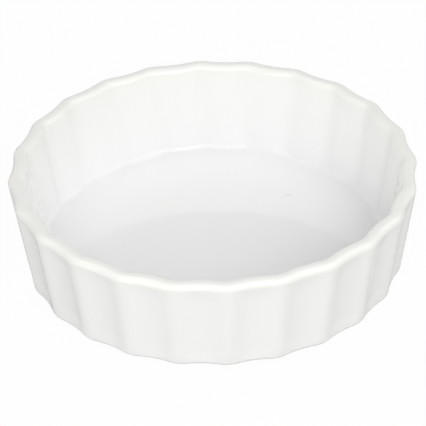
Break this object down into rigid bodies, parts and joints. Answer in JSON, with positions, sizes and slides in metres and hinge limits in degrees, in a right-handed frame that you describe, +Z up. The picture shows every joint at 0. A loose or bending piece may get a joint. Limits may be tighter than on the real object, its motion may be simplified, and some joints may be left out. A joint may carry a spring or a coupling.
{
  "type": "fluted quiche dish",
  "caption": "Small round baking dish of white glazed porcelain with a fluted, flared wall, a rounded rim and a flat floor on a low bare foot ring.",
  "frame": {"origin": "on the table, under the middle of the dish, at the bottom of its foot ring", "axes": "+Z up along the dish's axis, +X through the crest of one flute"},
  "size_m": [0.12, 0.12, 0.0322],
  "materials": {
    "porcelain": "fired unglazed porcelain, fine matte grain",
    "glaze": "clear glossy glaze over white porcelain"
  },
  "bodies": {
    "root": {"porcelain_body": "porcelain", "glaze_coat": "glaze", "recess_glaze": "glaze"}
  },
  "joints": []
}
